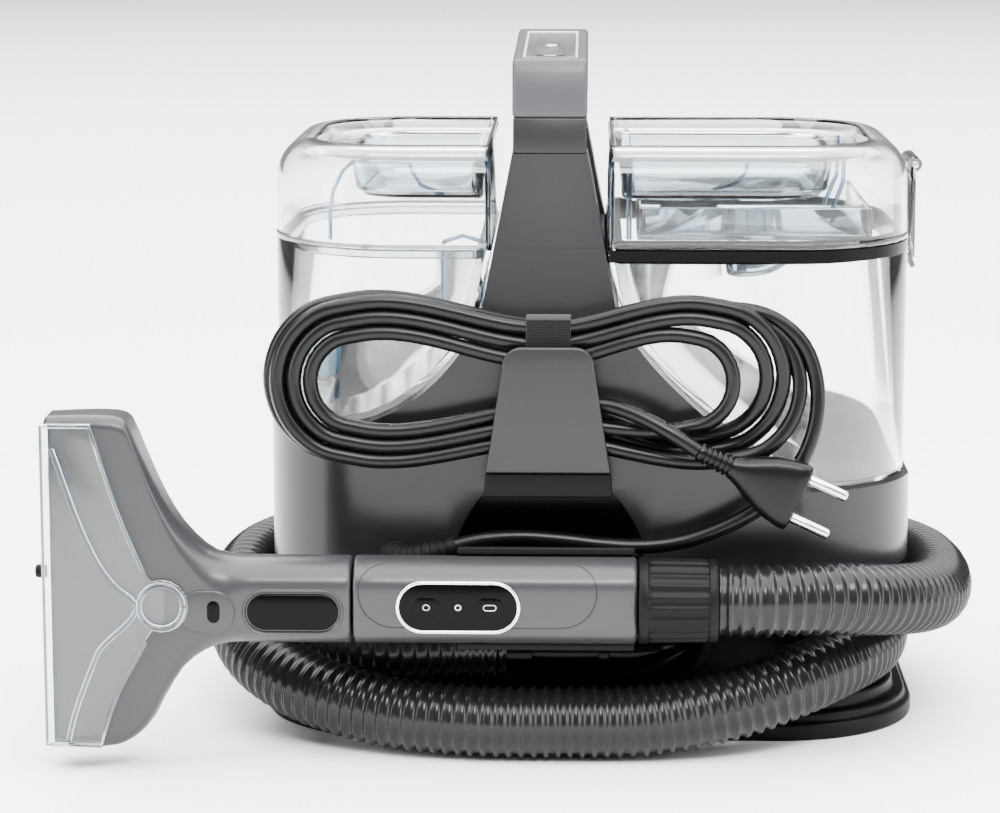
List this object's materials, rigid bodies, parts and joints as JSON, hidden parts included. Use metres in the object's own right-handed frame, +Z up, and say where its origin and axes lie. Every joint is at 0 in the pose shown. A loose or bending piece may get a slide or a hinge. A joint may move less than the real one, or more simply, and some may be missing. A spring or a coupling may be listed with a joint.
{
  "type": "carpet cleaner",
  "caption": "Portable carpet and upholstery cleaner with clear lift-off water tanks either side of a carrying handle, a hose wound round its base and a hand tool on a front cradle.",
  "frame": {"origin": "centre of the foot plate's underside, on the surface the machine stands on", "axes": "+Z up, front with the cord hook and hand tool towards -Y, dirty tank towards +X"},
  "size_m": [0.4305, 0.2814, 0.3161],
  "materials": {
    "casing": "moulded dark grey, glossy",
    "grey_satin": "satin grey",
    "tool_grey": "metallic grey satin",
    "black_matte": "fine matte",
    "black_gloss": "glossy",
    "clear": "clear, polished",
    "clear_blue": "clear with a faint blue tint",
    "rubber": "soft",
    "hose_vinyl": "corrugated, glossy",
    "lead_vinyl": "satin vinyl sheath",
    "trim": "satin",
    "steel": "plain",
    "motor_paint": "grey",
    "board": "solder mask",
    "white_plastic": "plain",
    "valve_blue": "blue",
    "tie_fabric": "woven hook and loop",
    "pin_metal": "nickel plated"
  },
  "bodies": {
    "machine": {"rubber_feet": "rubber", "foot_plate": "black_matte", "groove_core": "black_matte", "front_casing": "casing", "rear_casing": "casing", "front_tower": "casing", "rear_tower": "casing", "recess_liner": "black_gloss", "tower_band": "casing", "handle": "grey_satin", "handle_panel": "casing", "handle_panel_trim": "trim", "indicator_lens": "white_plastic", "hook_plate": "grey_satin", "hook_bracket": "black_matte", "tool_cradle": "black_matte", "hose_port": "black_matte", "port_seal": "rubber", "vent_grille": "black_matte", "casing_screws": "steel", "lead_gland": "rubber", "suction_motor": "motor_paint", "motor_mount": "rubber", "fan_cover": "black_matte", "suction_duct": "black_matte", "water_pump": "black_matte", "water_tube": "clear", "control_board": "board", "hose": "hose_vinyl", "lead_run": "lead_vinyl", "lead_hank": "lead_vinyl", "lead_tail": "lead_vinyl", "lead_tie": "tie_fabric", "plug_body": "lead_vinyl", "plug_pins": "pin_metal"},
    "power_button": {"power_button": "black_gloss"},
    "fan": {"motor_shaft": "steel", "impeller": "steel"},
    "clean_tank": {"clean_tank": "clear"},
    "clean_lid": {"clean_lid": "clear", "clean_seal": "rubber"},
    "clean_valve": {"clean_valve": "valve_blue"},
    "dirty_tank": {"dirty_tank": "clear"},
    "dirty_lid": {"dirty_lid": "clear", "dirty_seal": "rubber", "intake_duct": "clear_blue", "separator": "clear_blue", "float_cage": "clear_blue", "latch_pin": "steel"},
    "float": {"float": "white_plastic"},
    "lid_latch": {"lid_latch": "clear_blue"},
    "hand_tool": {"tool_grip": "tool_grey", "tool_panel": "black_gloss", "tool_panel_ring": "trim"},
    "spray_button": {"spray_button": "black_gloss"},
    "mode_button": {"mode_button": "black_gloss"},
    "nozzle": {"nozzle_head": "tool_grey", "spray_tip": "black_matte"},
    "nozzle_window": {"nozzle_window": "clear"},
    "release_button": {"release_button": "black_gloss"},
    "hose_cuff": {"hose_cuff": "black_matte"}
  },
  "joints": [
    {"name": "power_press", "type": "slide", "parent": "machine", "child": "power_button", "axis": [0, 0, -1], "range_m": [0, 0.0012], "stiffness_N_per_m": 400, "springref_m": -0.0006},
    {"name": "fan_spin", "type": "hinge", "parent": "machine", "child": "fan", "pos_m": [-0.019, 0, 0.1], "axis": [0, 0, 1], "continuous": true},
    {"name": "clean_tank_lift", "type": "slide", "parent": "machine", "child": "clean_tank", "axis": [0, 0, 1], "range_m": [0, 0.15]},
    {"name": "clean_lid_lift", "type": "slide", "parent": "clean_tank", "child": "clean_lid", "axis": [0, 0, 1], "range_m": [0, 0.06]},
    {"name": "clean_valve_lift", "type": "slide", "parent": "clean_tank", "child": "clean_valve", "axis": [0, 0, 1], "range_m": [0, 0.003], "stiffness_N_per_m": 60, "springref_m": -0.002},
    {"name": "dirty_tank_lift", "type": "slide", "parent": "machine", "child": "dirty_tank", "axis": [0, 0, 1], "range_m": [0, 0.15]},
    {"name": "dirty_lid_lift", "type": "slide", "parent": "dirty_tank", "child": "dirty_lid", "axis": [0, 0, 1], "range_m": [0, 0.08]},
    {"name": "float_rise", "type": "slide", "parent": "dirty_lid", "child": "float", "axis": [0, 0, 1], "range_m": [0, 0.013]},
    {"name": "latch_swing", "type": "hinge", "parent": "dirty_lid", "child": "lid_latch", "pos_m": [0.1515, 0, 0.258], "axis": [0, -1, 0], "range_deg": [0, 95]},
    {"name": "tool_unclip", "type": "slide", "parent": "machine", "child": "hand_tool", "axis": [0, -1, 0], "range_m": [0, 0.04]},
    {"name": "spray_press", "type": "slide", "parent": "hand_tool", "child": "spray_button", "axis": [0, 1, 0], "range_m": [0, 0.001], "stiffness_N_per_m": 400, "springref_m": -0.0006},
    {"name": "mode_press", "type": "slide", "parent": "hand_tool", "child": "mode_button", "axis": [0, 1, 0], "range_m": [0, 0.001], "stiffness_N_per_m": 400, "springref_m": -0.0006},
    {"name": "nozzle_pull", "type": "slide", "parent": "hand_tool", "child": "nozzle", "axis": [-1, 0, 0], "range_m": [0, 0.02]},
    {"name": "window_pull", "type": "slide", "parent": "nozzle", "child": "nozzle_window", "axis": [0, -1, 0], "range_m": [0, 0.012]},
    {"name": "release_press", "type": "slide", "parent": "nozzle", "child": "release_button", "axis": [0, 1, 0], "range_m": [0, 0.002], "stiffness_N_per_m": 500, "springref_m": -0.0008},
    {"name": "cuff_swivel", "type": "hinge", "parent": "hand_tool", "child": "hose_cuff", "pos_m": [0.03, -0.136, 0.0755], "axis": [1, 0, 0], "continuous": true}
  ]
}
